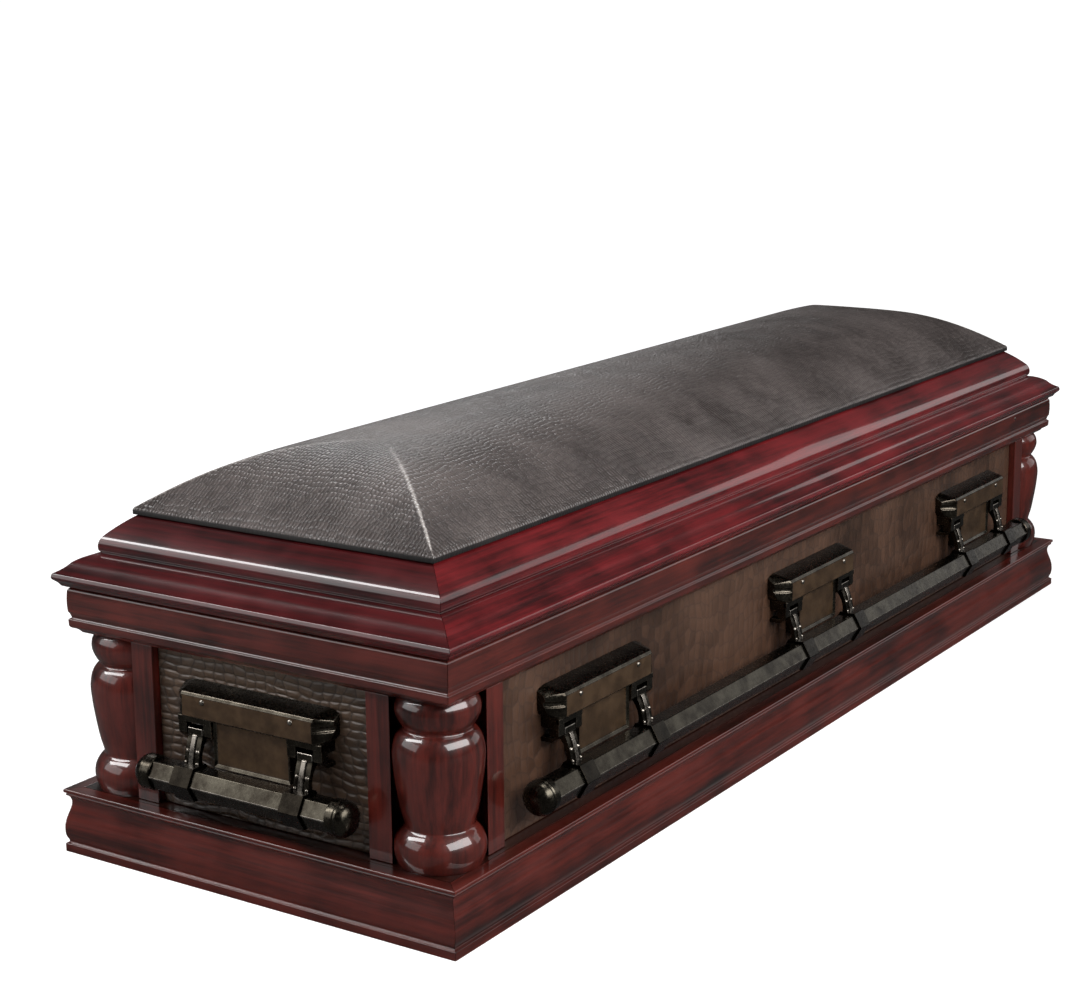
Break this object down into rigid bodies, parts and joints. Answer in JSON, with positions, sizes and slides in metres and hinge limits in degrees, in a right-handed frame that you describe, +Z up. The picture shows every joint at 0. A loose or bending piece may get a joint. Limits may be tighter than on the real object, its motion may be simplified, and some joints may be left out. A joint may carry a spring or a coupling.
{
  "type": "casket",
  "caption": "Wooden casket with a domed leather-covered lift-off lid, turned corner columns, moulded base, rail and lid, and swing bars to carry it by.",
  "frame": {"origin": "centre of the footprint, on the floor", "axes": "+X along the casket, +Y from the front long side to the back, +Z up"},
  "size_m": [2.1728, 0.7398, 0.5851],
  "materials": {
    "mahogany_moulding": "high-gloss lacquered mahogany, red-brown with darker streaks",
    "mahogany_post": "high-gloss lacquered mahogany",
    "mahogany_turned": "high-gloss lacquered mahogany, turned",
    "bottom_board_wood": "dark stained board",
    "lid_leather": "dark grey-brown leather embossed with fine reptile scales, semi-gloss",
    "panel_leather": "olive-brown leather embossed with reptile scales",
    "antique_bronze": "dark antique bronze with brightened edges"
  },
  "bodies": {
    "casket": {"base_front": "mahogany_moulding", "rail_front": "mahogany_moulding", "lid_front": "mahogany_moulding", "panel_front": "panel_leather", "base_right": "mahogany_moulding", "rail_right": "mahogany_moulding", "lid_right": "mahogany_moulding", "panel_right": "panel_leather", "base_back": "mahogany_moulding", "rail_back": "mahogany_moulding", "lid_back": "mahogany_moulding", "panel_back": "panel_leather", "base_left": "mahogany_moulding", "rail_left": "mahogany_moulding", "lid_left": "mahogany_moulding", "panel_left": "panel_leather", "post_1": "mahogany_post", "column_1": "mahogany_turned", "post_2": "mahogany_post", "column_2": "mahogany_turned", "post_3": "mahogany_post", "column_3": "mahogany_turned", "post_4": "mahogany_post", "column_4": "mahogany_turned", "bottom_board": "bottom_board_wood", "lid_dome": "lid_leather", "ear_front_1": "antique_bronze", "ear_front_2": "antique_bronze", "ear_front_3": "antique_bronze", "ear_right_1": "antique_bronze", "ear_back_1": "antique_bronze", "ear_back_2": "antique_bronze", "ear_back_3": "antique_bronze", "ear_left_1": "antique_bronze"},
    "front_bar": {"bar_front": "antique_bronze", "arm_front_1": "antique_bronze", "arm_front_2": "antique_bronze", "arm_front_3": "antique_bronze", "arm_front_4": "antique_bronze", "arm_front_5": "antique_bronze", "arm_front_6": "antique_bronze"},
    "right_bar": {"bar_right": "antique_bronze", "arm_right_1": "antique_bronze", "arm_right_2": "antique_bronze"},
    "back_bar": {"bar_back": "antique_bronze", "arm_back_1": "antique_bronze", "arm_back_2": "antique_bronze", "arm_back_3": "antique_bronze", "arm_back_4": "antique_bronze", "arm_back_5": "antique_bronze", "arm_back_6": "antique_bronze"},
    "left_bar": {"bar_left": "antique_bronze", "arm_left_1": "antique_bronze", "arm_left_2": "antique_bronze"}
  },
  "joints": [
    {"name": "front_bar_swing", "type": "hinge", "parent": "casket", "child": "front_bar", "pos_m": [0, -0.3198, 0.222], "axis": [-1, 0, 0], "range_deg": [0, 80]},
    {"name": "right_bar_swing", "type": "hinge", "parent": "casket", "child": "right_bar", "pos_m": [1.0363, 0, 0.222], "axis": [0, -1, 0], "range_deg": [0, 80]},
    {"name": "back_bar_swing", "type": "hinge", "parent": "casket", "child": "back_bar", "pos_m": [0, 0.3198, 0.222], "axis": [1, 0, 0], "range_deg": [0, 80]},
    {"name": "left_bar_swing", "type": "hinge", "parent": "casket", "child": "left_bar", "pos_m": [-1.0363, 0, 0.222], "axis": [0, 1, 0], "range_deg": [0, 80]}
  ]
}
